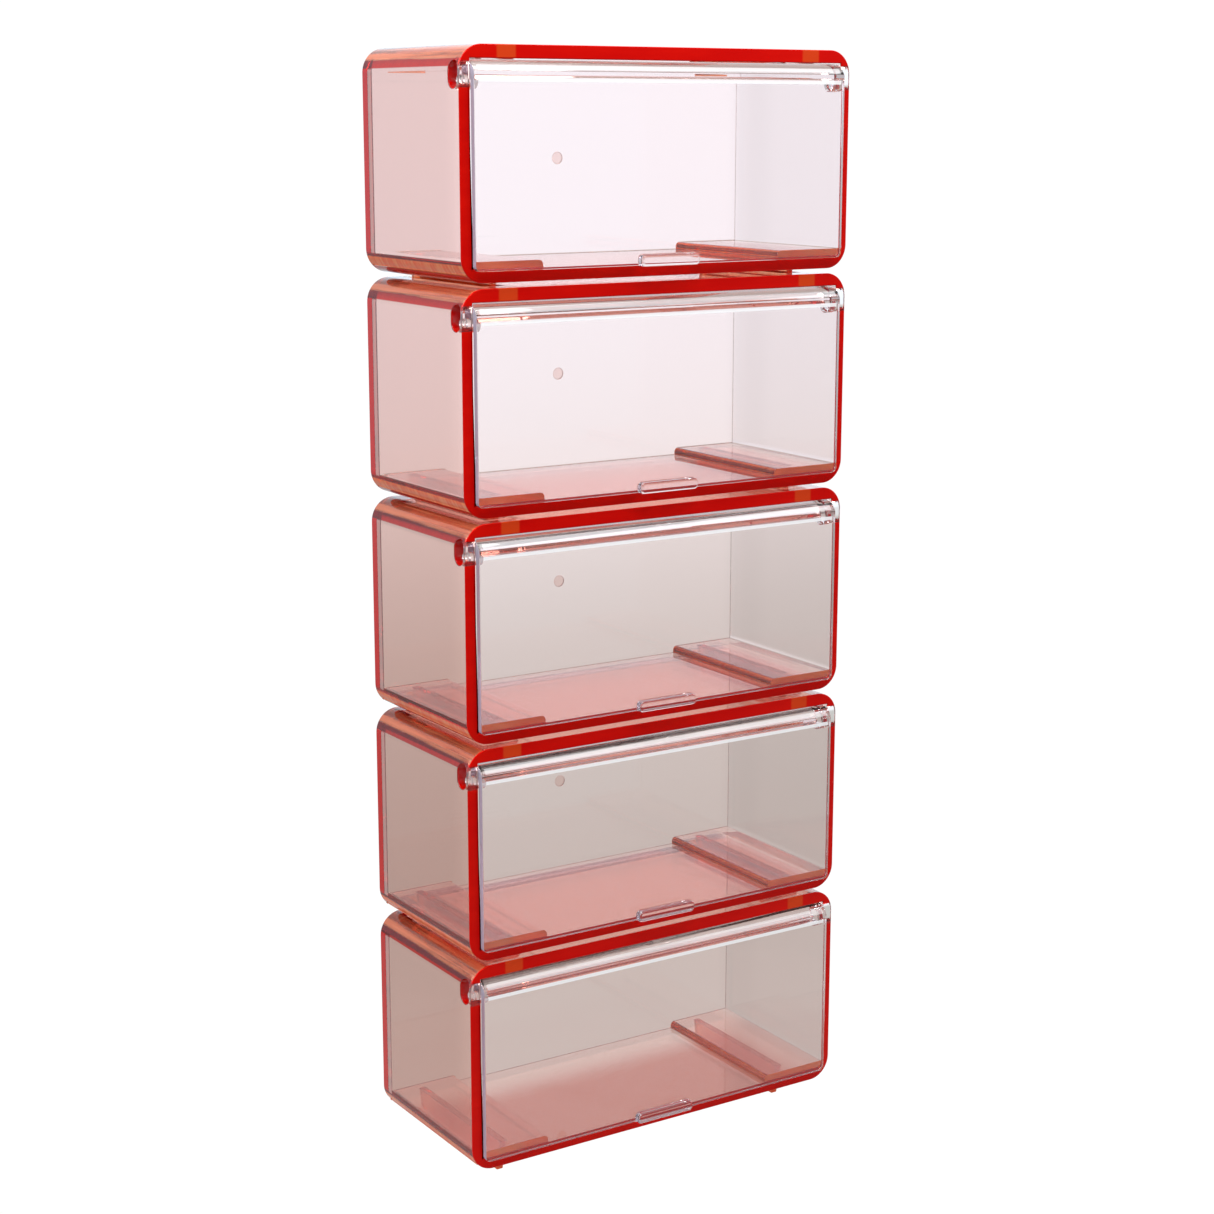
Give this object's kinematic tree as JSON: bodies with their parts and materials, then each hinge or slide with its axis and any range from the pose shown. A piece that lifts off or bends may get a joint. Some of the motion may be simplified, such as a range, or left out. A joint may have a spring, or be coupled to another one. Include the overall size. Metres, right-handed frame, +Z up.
{
  "type": "stackable shoe box",
  "caption": "Stack of see-through, red-tinted shoe boxes with clear flip-up front doors; each box lifts off and its runners sit in grooves in the roof below.",
  "frame": {"origin": "middle of the footprint, pull and runners included, on the ground", "axes": "+Z up the stack, +Y from the doors to the back walls, +X to the right seen from the front"},
  "size_m": [0.35, 0.1616, 0.8736],
  "materials": {
    "tinted_plastic": "clear injection-moulded plastic tinted red, gloss",
    "clear_plastic": "clear colourless injection-moulded plastic, gloss"
  },
  "bodies": {
    "box_1": {"box_1_shell": "tinted_plastic"},
    "box_2": {"box_2_shell": "tinted_plastic"},
    "box_3": {"box_3_shell": "tinted_plastic"},
    "box_4": {"box_4_shell": "tinted_plastic"},
    "box_5": {"box_5_shell": "tinted_plastic"},
    "door_1": {"box_1_door": "clear_plastic"},
    "door_2": {"box_2_door": "clear_plastic"},
    "door_3": {"box_3_door": "clear_plastic"},
    "door_4": {"box_4_door": "clear_plastic"},
    "door_5": {"box_5_door": "clear_plastic"}
  },
  "joints": [
    {"name": "door_1_hinge", "type": "hinge", "parent": "box_1", "child": "door_1", "pos_m": [0, -0.06169, 0.15925], "axis": [-1, 0, 0], "range_deg": [0, 95]},
    {"name": "box_2_lift", "type": "slide", "parent": "box_1", "child": "box_2", "axis": [0, 0, 1], "range_m": [0, 0.05]},
    {"name": "door_2_hinge", "type": "hinge", "parent": "box_2", "child": "door_2", "pos_m": [0, -0.06169, 0.33145], "axis": [-1, 0, 0], "range_deg": [0, 95]},
    {"name": "box_3_lift", "type": "slide", "parent": "box_2", "child": "box_3", "axis": [0, 0, 1], "range_m": [0, 0.05]},
    {"name": "door_3_hinge", "type": "hinge", "parent": "box_3", "child": "door_3", "pos_m": [0, -0.06169, 0.50365], "axis": [-1, 0, 0], "range_deg": [0, 95]},
    {"name": "box_4_lift", "type": "slide", "parent": "box_3", "child": "box_4", "axis": [0, 0, 1], "range_m": [0, 0.05]},
    {"name": "door_4_hinge", "type": "hinge", "parent": "box_4", "child": "door_4", "pos_m": [0, -0.06169, 0.67585], "axis": [-1, 0, 0], "range_deg": [0, 95]},
    {"name": "box_5_lift", "type": "slide", "parent": "box_4", "child": "box_5", "axis": [0, 0, 1], "range_m": [0, 0.05]},
    {"name": "door_5_hinge", "type": "hinge", "parent": "box_5", "child": "door_5", "pos_m": [0, -0.06169, 0.84805], "axis": [-1, 0, 0], "range_deg": [0, 95]}
  ]
}
